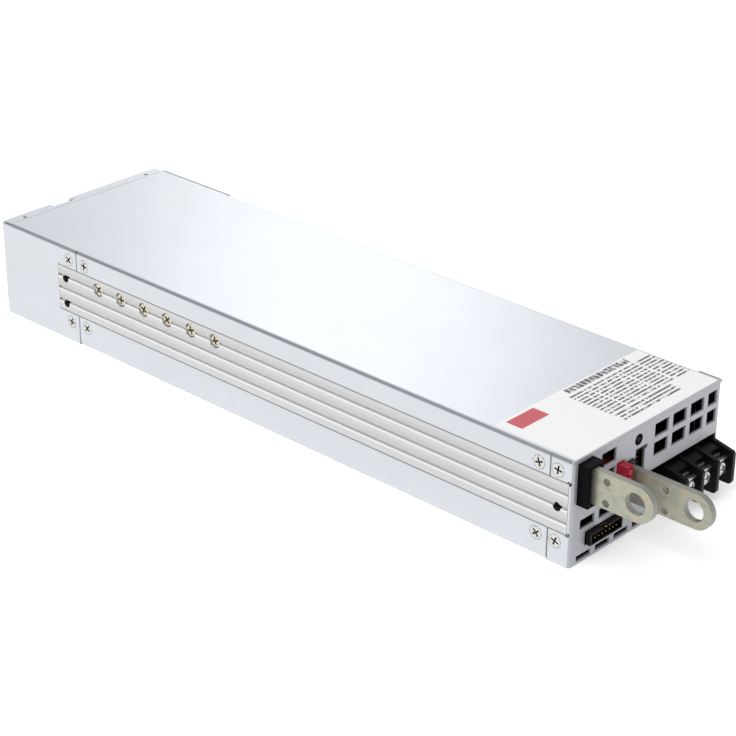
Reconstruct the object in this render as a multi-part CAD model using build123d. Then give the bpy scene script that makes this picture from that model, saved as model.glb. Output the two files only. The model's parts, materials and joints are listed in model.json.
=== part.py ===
from build123d import *
import math
import os

# Slim battery charger in a folded sheet steel case.
# Millimetres. X runs across the front, +Y runs to the rear, +Z is up.
# The origin is the middle of the underside, and the terminals face -Y.

# Case
case_width = 85.0
case_length = 300.0
case_height = 41.0
sheet = 1.0
bend_radius = 1.5
seam = 0.2

# How the sheets meet on the left side
window_bottom = 12.7
window_top = 32.3
window_start = 1.5
window_end = 264.5
front_wrap = 9.5
rear_wrap = 47.3
corner_relief = 0.9

# Rear edge of the top
rear_lip = 6.0
lip_notch_left = -17.5
lip_notch_right = -6.5
lip_notch_depth = 4.0
lip_hole_spacing = 67.0
lip_hole_radius = 0.9
lip_hole_inset = 1.6

# Right side, where the cover flange laps over a lip of the tray
lap_lip_height = 11.0
lap_clearance = 0.1
lap_screw_height = 36.0
lap_screw_stations = (6.4, 14.6, 248.0, 257.5)

# Heat sink
sink_thickness = 4.0
sink_margin = 2.5
groove_heights = (28.0, 22.5, 17.0)
groove_width = 1.1
groove_depth = 0.9
sink_clearance = 0.15

# Flat screws that hold the sheets
flat_head_radius = 2.8
flat_shank_radius = 1.5
flat_head_depth = 1.3
flat_length = 3.4
flat_screw_size = (flat_head_radius, flat_shank_radius, flat_head_depth, flat_length)
side_screw_stations = (6.4, 14.6, 248.0, 257.5)
upper_screw_height = 35.9
lower_screw_height = 8.5
fastener_sides = 8
pan_head_taper = 0.8
thread_clearance = 0.02

# Screws that clamp the transistors to the heat sink
clamp_screw_first = 172.5
clamp_screw_pitch = 13.5
clamp_screw_count = 6
clamp_head_radius = 2.7
clamp_head_height = 1.1
clamp_shank_radius = 1.25
clamp_counterbore_depth = 1.5
clamp_counterbore_radius = 3.0

# Tapped holes for mounting
side_hole_radius = 1.65
side_holes = ((6.2, 22.0), (260.0, 16.0), (260.0, 27.0))
base_hole_radius = 1.65
base_hole_spacing_across = 50.0
base_hole_spacing_along = 220.0

# Vents in the front
vent_width = 8.0
vent_pitch = 10.5
vent_height = 5.3
upper_vent_bottom = 32.7
vent_row_pitch = 7.4
full_right_vents = 3
middle_vents = 2
bottom_vents = 4
right_vent_start = 3.0
left_vent_start = -27.0
middle_vent_start = -37.3
middle_vent_bottom = 13.1
middle_vent_height = 3.7
bottom_vent_start = -38.5
bottom_vent_bottom = 1.0
bottom_vent_height = 2.2

# Main board
board_thickness = 1.6
standoff_height = 3.5
standoff_radius = 3.0
board_left = -34.0
board_right = 39.0
board_front = 4.5
board_rear = 262.0
board_screw_radius = 1.5
board_screw_bite = 0.8
board_head_radius = 2.7
board_head_height = 1.8
board_screw_columns = (-29.0, 34.0)
board_screw_rows = (20.0, 256.0)

# Busbars
bar_height = 13.4
bar_thickness = 2.5
bar_stud_hole_radius = 4.0
bar_end_past_hole = 7.4
bar_small_hole_radius = 1.35
bar_small_hole_back = 11.75
bar_small_hole_spacing = 8.0
bar_small_hole_drop = 0.5
bar_inner_end = 34.0
bar_leg_length = 7.0
positive_left = -37.4
positive_bottom = 25.2
positive_reach = 21.75
negative_left = -12.6
negative_bottom = 14.8
negative_reach = 28.35
insulator_left = -40.0
insulator_right = -32.0
insulator_bottom = 24.0
insulator_top = 39.6
insulator_proud = 4.7
insulator_back = 3.0
insulator_wall = 0.8
bar_slot_gap = 1.2
collar_proud = 1.0
collar_rim = 0.7
collar_wall = 0.6
bar_clearance = 0.1

# Switch bank
switch_center = -16.1
switch_width = 3.6
switch_bottom = 19.4
switch_height = 11.2
switch_proud = 4.0
switch_count = 4
switch_pitch = 2.54
lever_proud = 5.2
lever_height = 1.5
lever_width = 1.4
lever_pivot_ahead = 0.6
lever_pivot_radius = 0.9
lever_swing = 16.0
lever_clearance = 0.25
lever_tip_round = 0.28

# Signal header at the bottom
header_left = -33.8
header_right = -15.8
header_height = 4.6
header_proud = 2.2
header_back = 4.0
header_wall = 0.5
header_floor_back = 1.2
header_columns = 8
header_pitch = 2.0
pin_size = 0.5
pin_reach = 1.2
lower_pin_tail = 0.6
upper_pin_tail = 1.4

# Tall signal socket
socket_left = -7.3
socket_right = -2.7
socket_bottom = 19.2
socket_top = 31.8
socket_recess = 0.4
socket_wall = 0.6
socket_floor_back = 5.0
socket_rows = 5
socket_notch_width = 1.2
socket_notch_height = 1.7
cutout_gap = 0.4

# Status light
light_across = -6.3
light_height = 35.7
light_radius = 1.5
light_hole_radius = 2.1
light_recess = 0.3

# Upright control board behind the front
control_left = -28.0
control_right = 0.5
control_top = 38.5
control_front = 6.0

# Mains terminal block
fin_first = 11.5
fin_pitch = 9.5
fin_count = 4
fin_thickness = 1.6
fin_proud = 9.5
fin_bottom = 3.0
fin_nose_height = 16.0
fin_root_height = 18.2
fin_corner_radius = 1.5
roof_drop = 0.8
roof_step = 1.5
fin_root_rise = 0.4
fin_foot_slope = 1.2
block_face = 4.2
block_back = 14.0
terminal_height = 10.9
terminal_opening = 1.5
plate_gap = 0.05
terminal_cut_left = 0.0
terminal_cut_right = 41.2
terminal_cut_top = 20.3
terminal_cut_bottom = 5.7
contact_thickness = 0.8
clamp_plate_width = 7.2
clamp_plate_height = 6.4
clamp_plate_thickness = 0.8
clamp_plate_lip = 0.8
terminal_screw_radius = 1.6
terminal_head_radius = 2.35
terminal_head_height = 1.7
terminal_screw_length = 7.2
terminal_hole_depth = 8.0
terminal_fit = 0.05

# Fans
fan_size = 38.0
fan_depth = 28.0
fan_spacing = 40.4
fan_bore_radius = 18.0
fan_corner_cut = 1.6
fan_bore_flats = 32
hub_flats = 16
fan_screw_spacing = 32.0
fan_screw_radius = 1.4
fan_screw_head_radius = 2.5
fan_screw_length = 8.0
fan_screw_size = (fan_screw_head_radius, fan_screw_radius, sheet, fan_screw_length)
fan_strut_width = 2.2
fan_strut_depth = 3.0
fan_hub_radius = 10.5
fan_hub_wall = 1.2
fan_hub_length = 20.0
fan_hub_gap = 1.0
blade_count = 7
blade_tip_gap = 0.6
blade_thickness = 1.1
blade_chord = 15.0
blade_camber = 0.09
blade_root_angle = 42.0
blade_tip_angle = 58.0
stator_radius = 7.6
stator_share = 0.6
shaft_radius = 1.0
shaft_fit = 0.05
shaft_end_gap = 0.5
grille_radius = 17.6
grille_slots = 7
grille_pitch = 4.6
grille_slot_height = 3.0
grille_bar = 2.4

# Label on the top
label_length = 35.5
label_margin_front = 0.6
label_margin_side = 1.2
label_thickness = 0.1

# Transistors clamped to the heat sink, and the pad under them
transistor_width = 10.4
transistor_height = 15.0
transistor_thickness = 4.6
transistor_tab = 1.4
transistor_hole_drop = 3.4
transistor_bare_tab = 5.4
thermal_pad_thickness = 0.3
transistor_leg_pitch = 2.54
transistor_leg_size = 0.7
clamp_screw_past_tab = 1.0

# Parts on the main board: sizes are width, depth and height, places are across and behind the front
transformer_core_size = (42.0, 30.0, 30.0)
transformer_center = (0.0, 118.0)
transformer_leg = 10.0
transformer_window = (9.0, 18.0)
winding_overhang = 6.0
winding_gap = 0.5
choke_radius = 16.0
choke_hole_radius = 6.5
choke_height = 15.0
choke_rim = 3.0
choke_flats = 16
pfc_choke_center = (14.0, 168.0)
filter_choke_center = (22.0, 62.0)
bulk_capacitor_radius = 12.5
bulk_capacitor_length = 45.0
bulk_capacitor_stations = (198.0, 226.0)
bulk_capacitor_left = -14.0
can_flats = 16
output_capacitor_radius = 6.2
output_capacitor_height = 25.0
output_capacitor_pitch = 14.0
output_capacitor_first = 52.0
output_capacitor_across = (-27.0, -12.5)
bridge_size = (30.0, 4.6, 20.0)
bridge_center = (18.0, 92.0)
relay_size = (12.0, 19.0, 15.5)
relay_center = (0.5, 34.0)
film_capacitor_size = (26.0, 11.0, 18.0)
film_capacitor_center = (22.0, 38.0)
fuse_radius = 2.6
fuse_length = 20.0
fuse_cap_length = 5.0
fuse_cap_step = 0.2
fuse_clip_thickness = 0.5
fuse_clip_mouth = 0.86
fuse_center = (24.0, 26.0)

# Derived places
front_y = -case_length / 2
rear_y = case_length / 2
half_width = case_width / 2
inner_half_width = half_width - sheet
cover_underside = case_height - sheet
board_bottom = sheet + standoff_height
board_top = board_bottom + board_thickness
sink_outer = -half_width
sink_inner = sink_outer + sink_thickness
fan_center_z = cover_underside / 2 + sheet / 2
fan_rear_y = rear_y - sheet


def behind_front(distance):
    return front_y + distance


def ahead_of_front(distance):
    return front_y - distance


def block(x_range, y_range, z_range):
    size = [high - low for low, high in (x_range, y_range, z_range)]
    middle = [(high + low) / 2 for low, high in (x_range, y_range, z_range)]
    return Pos(*middle) * Box(*size)


def rod(start, direction, radius, length):
    return Plane(origin=start, z_dir=direction) * Pos(0, 0, length / 2) * Cylinder(radius, length)


def extrude_along_y(profile, low, high):
    return extrude(Plane.XZ.offset(-high) * profile, amount=high - low)


def extrude_along_x(profile, low, high):
    return extrude(Plane.YZ.offset(low) * profile, amount=high - low)


def extrude_along_z(profile, low, high):
    return extrude(Plane.XY.offset(low) * profile, amount=high - low)


def polygon_face(points):
    return make_face(Polyline(*points, close=True))


def rectangle(x_range, y_range):
    width = x_range[1] - x_range[0]
    height = y_range[1] - y_range[0]
    return Pos(sum(x_range) / 2, sum(y_range) / 2) * Rectangle(width, height)


def folded_strip(points):
    # A sheet seen end on: the outer line with its bends, and the same line one sheet further in.
    outer = FilletPolyline(*points, radius=bend_radius)
    return make_face(offset(outer, amount=sheet, side=Side.LEFT))


def small_prism(origin, direction, radius, low, high):
    # A small round rod or hole with few flat sides, which keeps the many fasteners light.
    plane = Plane(origin=origin, z_dir=direction)
    face = plane.offset(low) * RegularPolygon(radius, fastener_sides)
    return extrude(face, amount=high - low)


def small_cone(origin, direction, low_ring, high_ring):
    # A ring is a radius and its height along the direction. The flat sides lean in by the taper.
    (low_radius, low), (high_radius, high) = low_ring, high_ring
    flat_share = math.cos(math.pi / fastener_sides)
    taper = math.degrees(math.atan((low_radius - high_radius) * flat_share / (high - low)))
    face = Plane(origin=origin, z_dir=direction).offset(low) * RegularPolygon(low_radius, fastener_sides)
    return extrude(face, amount=high - low, taper=taper)


def flat_screw(origin, direction, size):
    # A size is the head radius, the shank radius, the depth of the cone and the length.
    head, shank, cone_depth, length = size
    screw = small_cone(origin, direction, (head, 0), (shank, cone_depth))
    return screw + small_prism(origin, direction, shank, cone_depth, length)


def flat_screw_hole(origin, direction, size):
    # The same outline as the screw, a little wider, starting just outside the sheet.
    head, shank, cone_depth, length = size
    head += thread_clearance
    shank += thread_clearance
    hole = small_prism(origin, direction, head, -sheet, 0)
    hole += small_cone(origin, direction, (head, 0), (shank, cone_depth))
    return hole + small_prism(origin, direction, shank, cone_depth, length + sheet)


def pan_screw(origin, direction, head_radius, head_height, shank_radius, length):
    # The origin is under the head, and the direction is the one that the screw is driven in.
    reverse = tuple(-Vector(*direction))
    head = small_cone(origin, reverse, (head_radius, 0), (head_radius * pan_head_taper, head_height))
    return head + small_prism(origin, direction, shank_radius, 0, length)


def small_hole(origin, direction, radius, depth):
    return small_prism(origin, direction, radius + thread_clearance, 0, depth)


# Screw places on the sides of the case


def left_screw_points():
    heights = (upper_screw_height, lower_screw_height)
    return [(-half_width, behind_front(y), z) for y in side_screw_stations for z in heights]


def right_screw_points():
    return [(half_width, behind_front(y), lap_screw_height) for y in lap_screw_stations]


# Folded sheets


def base_tray():
    left_flange_top = window_bottom
    right_wall_top = window_top - seam
    outline = [
        (-half_width, left_flange_top),
        (-half_width, 0),
        (half_width, 0),
        (half_width, right_wall_top),
    ]
    wall_front = behind_front(front_wrap + seam)
    wall_rear = rear_y - rear_wrap - seam
    tray = extrude_along_y(folded_strip(outline), wall_front, wall_rear)
    floor_half = inner_half_width - lap_clearance
    floor_y = (behind_front(sheet + seam), rear_y - sheet - seam)
    tray += block((-floor_half, floor_half), floor_y, (0, sheet))
    lip_outer = inner_half_width - lap_clearance
    lip_bottom = right_wall_top - lap_lip_height / 2
    tray += block(
        (lip_outer - sheet, lip_outer),
        floor_y,
        (lip_bottom, lip_bottom + lap_lip_height),
    )
    weld_y = (wall_front, wall_rear)
    tray += block((lip_outer - sheet / 2, half_width - sheet / 2), weld_y, (lip_bottom, right_wall_top))
    for point in left_screw_points():
        tray -= flat_screw_hole(point, (1, 0, 0), flat_screw_size)
    for point in right_screw_points():
        tray -= flat_screw_hole(point, (-1, 0, 0), flat_screw_size)
    for x in (-base_hole_spacing_across / 2, base_hole_spacing_across / 2):
        for y in (-base_hole_spacing_along / 2, base_hole_spacing_along / 2):
            tray -= rod((x, y, -sheet), (0, 0, 1), base_hole_radius, 3 * sheet)
    return tray


def top_cover():
    flange_bottom = window_top
    outline = [
        (half_width, flange_bottom),
        (half_width, case_height),
        (-half_width, case_height),
        (-half_width, flange_bottom),
    ]
    flange_front = behind_front(front_wrap + seam)
    flange_rear = rear_y - rear_wrap - seam
    cover = extrude_along_y(folded_strip(outline), flange_front, flange_rear)
    plate_y = (front_y, rear_y - rear_lip - seam)
    across = (-half_width, half_width)
    plate = block(across, plate_y, (cover_underside, case_height))
    cover += plate - block(across, (flange_front, flange_rear), (cover_underside, case_height))
    for point in left_screw_points():
        cover -= flat_screw_hole(point, (1, 0, 0), flat_screw_size)
    for point in right_screw_points():
        cover -= flat_screw_hole(point, (-1, 0, 0), flat_screw_size)
    return cover


def side_window(y_range):
    overrun = sheet
    x_range = (-half_width - overrun, -half_width + bend_radius + overrun)
    return block(x_range, y_range, (window_bottom, window_top))


def front_cutouts():
    cuts = Sketch()

    def vent_row(start, bottom, height, count):
        places = [start + index * vent_pitch for index in range(count)]
        return [rectangle((x, x + vent_width), (bottom, bottom + height)) for x in places]

    second_row_bottom = upper_vent_bottom - vent_row_pitch
    last_vent_end = inner_half_width - bend_radius
    for bottom in (upper_vent_bottom, second_row_bottom):
        for face in vent_row(right_vent_start, bottom, vent_height, full_right_vents):
            cuts += face
        last_start = right_vent_start + full_right_vents * vent_pitch
        cuts += rectangle((last_start, last_vent_end), (bottom, bottom + vent_height))
        cuts += vent_row(left_vent_start, bottom, vent_height, 1)[0]
    for face in vent_row(middle_vent_start, middle_vent_bottom, middle_vent_height, middle_vents):
        cuts += face
    for face in vent_row(bottom_vent_start, bottom_vent_bottom, bottom_vent_height, bottom_vents):
        cuts += face
    cuts += Pos(light_across, light_height) * Circle(light_hole_radius)
    cuts += rectangle(
        (socket_left - cutout_gap, socket_right + cutout_gap),
        (socket_bottom - cutout_gap, socket_top + cutout_gap),
    )
    notch_left = socket_right
    notch_top = socket_top + cutout_gap
    cuts += rectangle(
        (notch_left, notch_left + cutout_gap + socket_notch_width),
        (notch_top - socket_notch_height, notch_top),
    )
    switch_half = switch_width / 2 + cutout_gap
    cuts += rectangle(
        (switch_center - switch_half, switch_center + switch_half),
        (switch_bottom - cutout_gap, switch_bottom + switch_height + cutout_gap),
    )
    cuts += rectangle(
        (header_left - cutout_gap, header_right + cutout_gap),
        (board_top - cutout_gap, board_top + header_height + cutout_gap),
    )
    cuts += rectangle((terminal_cut_left, terminal_cut_right), (terminal_cut_bottom, terminal_cut_top))
    cuts += rectangle(
        (insulator_left + 2 * insulator_wall, insulator_right - insulator_wall),
        (insulator_bottom + insulator_wall, insulator_top - insulator_wall),
    )
    around_bar = collar_wall + bar_clearance
    cuts += rectangle(
        (negative_left - around_bar, negative_left + bar_thickness + around_bar),
        (negative_bottom - around_bar, negative_bottom + bar_height + around_bar),
    )
    return cuts


def front_panel():
    outline = [
        (-half_width, behind_front(front_wrap)),
        (-half_width, front_y),
        (half_width, front_y),
        (half_width, behind_front(front_wrap)),
    ]
    panel = extrude_along_z(folded_strip(outline), 0, cover_underside)
    panel -= side_window((behind_front(window_start), behind_front(front_wrap + sheet)))
    for z in (window_bottom, window_top):
        relief = (-half_width - sheet, behind_front(window_start), z)
        panel -= rod(relief, (1, 0, 0), corner_relief, 2 * sheet)
    panel -= extrude_along_y(front_cutouts(), front_y - sheet, front_y + 2 * sheet)
    for point in left_screw_points():
        panel -= flat_screw_hole(point, (1, 0, 0), flat_screw_size)
    for point in right_screw_points():
        panel -= flat_screw_hole(point, (-1, 0, 0), flat_screw_size)
    return panel


def fan_centers():
    return (-fan_spacing / 2, fan_spacing / 2)


def fan_screw_points(center):
    half = fan_screw_spacing / 2
    return [(center + x, rear_y, fan_center_z + z) for x in (-half, half) for z in (-half, half)]


def grille_face():
    # Level slots, each as long as the fan's circle is wide at its height, with a bar down the middle.
    slots = Sketch()
    for index in range(grille_slots):
        height = (index - (grille_slots - 1) / 2) * grille_pitch
        reach = abs(height) + grille_slot_height / 2
        half = math.sqrt(grille_radius**2 - reach**2)
        for side in (-1, 1):
            x_range = sorted((side * grille_bar / 2, side * half))
            half_slot = grille_slot_height / 2
            slots += rectangle(x_range, (height - half_slot, height + half_slot))
    return slots


def rear_panel():
    wrap_front = rear_y - rear_wrap
    outline = [
        (half_width, wrap_front),
        (half_width, rear_y),
        (-half_width, rear_y),
        (-half_width, wrap_front),
    ]
    panel = extrude_along_z(folded_strip(outline), 0, cover_underside)
    bend_start = case_height - 2 * bend_radius
    y_range = (rear_y - 2 * sheet, rear_y + sheet)
    panel -= block((-inner_half_width, inner_half_width), y_range, (bend_start, case_height))
    lip_half_width = inner_half_width - seam
    lip_line = [
        (rear_y, bend_start),
        (rear_y, case_height),
        (rear_y - rear_lip, case_height),
    ]
    panel += extrude_along_x(folded_strip(lip_line), -lip_half_width, lip_half_width)
    panel -= side_window((wrap_front - sheet, behind_front(window_end)))
    panel -= block(
        (lip_notch_left, lip_notch_right),
        (rear_y - lip_notch_depth, rear_y + sheet),
        (cover_underside - 2 * sheet, case_height + sheet),
    )
    for x in (-lip_hole_spacing / 2, lip_hole_spacing / 2):
        hole_y = rear_y - rear_lip + lip_hole_inset
        panel -= small_prism((x, hole_y, case_height), (0, 0, -1), lip_hole_radius, -sheet, 2 * sheet)
    for center in fan_centers():
        face = Pos(center, fan_center_z) * grille_face()
        panel -= extrude_along_y(face, rear_y - 2 * sheet, rear_y + sheet)
        for point in fan_screw_points(center):
            panel -= flat_screw_hole(point, (0, -1, 0), fan_screw_size)
    for point in left_screw_points():
        panel -= flat_screw_hole(point, (1, 0, 0), flat_screw_size)
    for point in right_screw_points():
        panel -= flat_screw_hole(point, (-1, 0, 0), flat_screw_size)
    return panel


# Heat sink and what is clamped to it


def clamp_screw_points():
    stations = [clamp_screw_first + index * clamp_screw_pitch for index in range(clamp_screw_count)]
    return [(sink_outer, behind_front(y), groove_heights[0]) for y in stations]


def heat_sink():
    ledge = sink_outer + sheet
    top = cover_underside - sink_margin + sheet
    window_low = window_bottom + sink_clearance
    window_high = window_top - sink_clearance
    profile = polygon_face(
        [
            (sink_inner, sink_margin),
            (sink_inner, top),
            (ledge, top),
            (ledge, window_high),
            (sink_outer, window_high),
            (sink_outer, window_low),
            (ledge, window_low),
            (ledge, sink_margin),
        ]
    )
    for height in groove_heights:
        groove = rectangle((-groove_depth, groove_depth), (-groove_width / 2, groove_width / 2))
        profile -= Pos(sink_outer, height) * groove
    y_range = (behind_front(window_start + sink_clearance), behind_front(window_end - sink_clearance))
    sink = extrude_along_y(profile, *y_range)
    for point in clamp_screw_points():
        sink -= small_prism(point, (1, 0, 0), clamp_counterbore_radius, 0, clamp_counterbore_depth)
        sink -= small_hole(point, (1, 0, 0), clamp_shank_radius, sink_thickness)
    for point in left_screw_points():
        sink -= flat_screw_hole(point, (1, 0, 0), flat_screw_size)
    for station, height in side_holes:
        sink -= rod((sink_outer, behind_front(station), height), (1, 0, 0), side_hole_radius, sink_thickness)
    return sink




def thermal_pad():
    margin = transistor_width
    start = behind_front(clamp_screw_first) - margin
    end = behind_front(clamp_screw_first + (clamp_screw_count - 1) * clamp_screw_pitch) + margin
    z_range = (groove_heights[0] - transistor_height, groove_heights[0] + 2 * transistor_hole_drop)
    pad = block((sink_inner, sink_inner + thermal_pad_thickness), (start, end), z_range)
    for point in clamp_screw_points():
        pad -= small_hole(point, (1, 0, 0), clamp_shank_radius, 2 * sink_thickness)
    return pad


def power_transistors():
    group = []
    leg_half = transistor_leg_size / 2
    for _, y, z in clamp_screw_points():
        back = sink_inner + thermal_pad_thickness
        body_top = z + transistor_hole_drop
        y_range = (y - transistor_width / 2, y + transistor_width / 2)
        tab = block((back, back + transistor_tab), y_range, (body_top - 2 * transistor_hole_drop, body_top))
        body_bottom = body_top - transistor_hole_drop - transistor_height
        body_z = (body_bottom, body_top - transistor_bare_tab)
        body = block((back, back + transistor_thickness), y_range, body_z)
        transistor = tab + body
        for index in (-1, 0, 1):
            leg_y = y + index * transistor_leg_pitch
            leg_x = back + transistor_thickness / 2
            transistor += block(
                (leg_x - leg_half, leg_x + leg_half),
                (leg_y - leg_half, leg_y + leg_half),
                (board_top, body_bottom),
            )
        transistor -= small_hole((sink_outer, y, z), (1, 0, 0), clamp_shank_radius, 4 * sink_thickness)
        group.append(transistor)
    return Compound(children=group)


def heat_sink_screws():
    clamped = sink_thickness - clamp_counterbore_depth + thermal_pad_thickness + transistor_tab
    length = clamped + clamp_screw_past_tab
    seats = [(x + clamp_counterbore_depth, y, z) for x, y, z in clamp_screw_points()]
    screws = [
        pan_screw(seat, (1, 0, 0), clamp_head_radius, clamp_head_height, clamp_shank_radius, length)
        for seat in seats
    ]
    return Compound(children=screws)


# Boards


def board_screw_points():
    return [(x, behind_front(y), board_top) for x in board_screw_columns for y in board_screw_rows]


def main_board():
    x_range = (board_left, board_right)
    y_range = (behind_front(board_front), behind_front(board_rear))
    board = block(x_range, y_range, (board_bottom, board_top))
    for x, y, z in board_screw_points():
        board -= small_hole((x, y, z), (0, 0, -1), board_screw_radius, board_thickness)
    return board


def board_standoffs():
    posts = []
    for x, y, z in board_screw_points():
        hexagon = Pos(x, y) * RegularPolygon(standoff_radius, 6)
        post = extrude_along_z(hexagon, sheet, board_bottom)
        posts.append(post - small_hole((x, y, z), (0, 0, -1), board_screw_radius, board_top - sheet))
    return Compound(children=posts)


def board_screws():
    length = board_thickness + standoff_height * board_screw_bite
    screws = [
        pan_screw(point, (0, 0, -1), board_head_radius, board_head_height, board_screw_radius, length)
        for point in board_screw_points()
    ]
    return Compound(children=screws)


def control_board():
    y_range = (behind_front(control_front), behind_front(control_front + board_thickness))
    board = block((control_left, control_right), y_range, (board_top, control_top))
    gap = 2 * cutout_gap
    bar_x = (negative_left - gap, negative_left + bar_thickness + gap)
    board -= block(bar_x, y_range, (board_top, negative_bottom + bar_height + gap))
    return board


# Busbars


def bus_bar(left, bottom, reach):
    # Side view: a round end with the stud hole, a straight bar, and two feet on the board inside.
    half = bar_height / 2
    middle = bottom + half
    hole_y = ahead_of_front(reach)
    inner = behind_front(bar_inner_end)
    end_y = hole_y - (bar_end_past_hole - half)
    side = rectangle((end_y, inner), (bottom, bottom + bar_height)) + Pos(end_y, middle) * Circle(half)
    foot_front = inner - 2 * bar_leg_length - bar_leg_length / 2
    for start in (foot_front, inner - bar_leg_length):
        side += rectangle((start, start + bar_leg_length), (board_top, middle))
    side -= Pos(hole_y, middle) * Circle(bar_stud_hole_radius)
    small_y = hole_y + bar_small_hole_back
    for offset_z in (-bar_small_hole_spacing / 2, bar_small_hole_spacing / 2):
        side -= Pos(small_y, middle - bar_small_hole_drop + offset_z) * Circle(bar_small_hole_radius)
    return extrude_along_x(side, left, left + bar_thickness)


def bus_bar_insulator():
    front = ahead_of_front(insulator_proud)
    head = block((insulator_left, insulator_right), (front, front_y), (insulator_bottom, insulator_top))
    head = fillet(head.edges().filter_by(Axis.Z).sort_by(Axis.Y)[:2], insulator_wall / 2)
    neck_inset = insulator_wall + bar_clearance
    neck_x = (insulator_left + neck_inset + insulator_wall, insulator_right - neck_inset)
    neck_z = (insulator_bottom + neck_inset, insulator_top - neck_inset)
    neck = block(neck_x, (front_y, behind_front(insulator_back)), neck_z)
    body = head + neck
    bar_x = (positive_left - bar_clearance, positive_left + bar_thickness + bar_clearance)
    bar_z = (positive_bottom - bar_clearance, positive_bottom + bar_height + bar_clearance)
    body -= block(bar_x, (front, behind_front(insulator_back)), bar_z)
    mouth_x = (bar_x[0] - bar_slot_gap, bar_x[1] + bar_slot_gap)
    body -= block(mouth_x, (front, front_y - insulator_wall), bar_z)
    return body


def bus_bar_collar():
    inner_x = (negative_left - bar_clearance, negative_left + bar_thickness + bar_clearance)
    inner_z = (negative_bottom - bar_clearance, negative_bottom + bar_height + bar_clearance)
    neck_wall = collar_wall - bar_clearance
    neck_x = (inner_x[0] - neck_wall, inner_x[1] + neck_wall)
    neck_z = (inner_z[0] - neck_wall, inner_z[1] + neck_wall)
    rim_x = (neck_x[0] - collar_rim / 2, neck_x[1] + collar_rim)
    rim_z = (neck_z[0] - collar_rim, neck_z[1] + collar_rim)
    collar = block(rim_x, (ahead_of_front(collar_proud), front_y), rim_z)
    collar += block(neck_x, (front_y, behind_front(insulator_back)), neck_z)
    collar -= block(inner_x, (ahead_of_front(2 * collar_proud), behind_front(2 * insulator_back)), inner_z)
    return collar


# Switch bank


def lever_heights():
    first = switch_bottom + switch_height / 2 - switch_pitch * (switch_count - 1) / 2
    return [first + index * switch_pitch for index in range(switch_count)]


def dip_switch_body():
    half = switch_width / 2
    x_range = (switch_center - half, switch_center + half)
    y_range = (ahead_of_front(switch_proud), behind_front(control_front))
    body = block(x_range, y_range, (switch_bottom, switch_bottom + switch_height))
    reach = switch_proud - lever_pivot_ahead
    slot_depth = reach + lever_pivot_radius + lever_clearance
    swing_room = reach * math.tan(math.radians(lever_swing / 2))
    slot_half = min(lever_width / 2 + swing_room + lever_clearance, half - lever_clearance)
    for z in lever_heights():
        slot_z = (z - lever_height / 2 - lever_clearance, z + lever_height / 2 + lever_clearance)
        slot_y = (ahead_of_front(switch_proud), ahead_of_front(switch_proud) + slot_depth)
        body -= block((switch_center - slot_half, switch_center + slot_half), slot_y, slot_z)
    return body


def dip_lever(height):
    # A round pivot with a tongue that sticks out of the body, parked at one end of its swing.
    pivot_y = ahead_of_front(lever_pivot_ahead)
    tongue_end = ahead_of_front(lever_proud)
    side = RegularPolygon(lever_pivot_radius, fastener_sides)
    tongue_length = pivot_y - tongue_end
    side += rectangle((-lever_width / 2, lever_width / 2), (-tongue_length, 0))
    z_range = (height - lever_height / 2, height + lever_height / 2)
    lever = extrude_along_z(side, *z_range)
    tip = lever.edges().filter_by(Axis.Z).sort_by(Axis.Y)[:2]
    lever = fillet(tip, lever_tip_round)
    return Pos(switch_center, pivot_y, 0) * Rot(0, 0, -lever_swing / 2) * lever


# Connectors


def header_housing():
    z_range = (board_top, board_top + header_height)
    y_range = (ahead_of_front(header_proud), behind_front(header_back))
    housing = block((header_left, header_right), y_range, z_range)
    cavity_x = (header_left + header_wall * 1.5, header_right - header_wall * 1.5)
    cavity_z = (z_range[0] + header_wall, z_range[1] - header_wall)
    housing -= block(cavity_x, (y_range[0], behind_front(header_floor_back)), cavity_z)
    key_half = header_pitch
    center = (header_left + header_right) / 2
    housing -= block(
        (center - key_half, center + key_half),
        (y_range[0], front_y - header_wall),
        (z_range[1] - header_wall, z_range[1]),
    )
    for x, z in header_pin_places():
        housing -= block(
            (x - pin_size / 2, x + pin_size / 2),
            y_range,
            (z - pin_size / 2, z + pin_size / 2),
        )
    return housing


def header_pin_places():
    center = (header_left + header_right) / 2
    first = center - header_pitch * (header_columns - 1) / 2
    middle = board_top + header_height / 2
    rows = (middle - header_pitch / 2, middle + header_pitch / 2)
    return [(first + column * header_pitch, z) for column in range(header_columns) for z in rows]


def header_pins():
    pins = []
    middle = board_top + header_height / 2
    for x, z in header_pin_places():
        back = behind_front(header_back + (lower_pin_tail if z < middle else upper_pin_tail))
        x_range = (x - pin_size / 2, x + pin_size / 2)
        front = ahead_of_front(pin_reach)
        straight = block(x_range, (front, back), (z - pin_size / 2, z + pin_size / 2))
        foot = block(x_range, (back - pin_size, back), (board_top, z + pin_size / 2))
        pins.append(straight + foot)
    return Compound(children=pins)


def signal_socket():
    x_range = (socket_left, socket_right)
    z_range = (socket_bottom, socket_top)
    y_range = (behind_front(socket_recess), behind_front(control_front))
    shell = block(x_range, y_range, z_range)
    cavity_x = (socket_left + socket_wall, socket_right - socket_wall)
    cavity_z = (socket_bottom + socket_wall, socket_top - socket_wall)
    shell -= block(cavity_x, (y_range[0], behind_front(socket_floor_back)), cavity_z)
    key_z = (socket_top - socket_notch_height + 2 * cutout_gap, socket_top)
    shell += block((socket_right, socket_right + socket_notch_width * 0.6), y_range, key_z)
    for x, z in socket_pin_places():
        shell -= block((x - pin_size / 2, x + pin_size / 2), y_range, (z - pin_size / 2, z + pin_size / 2))
    return shell


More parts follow.
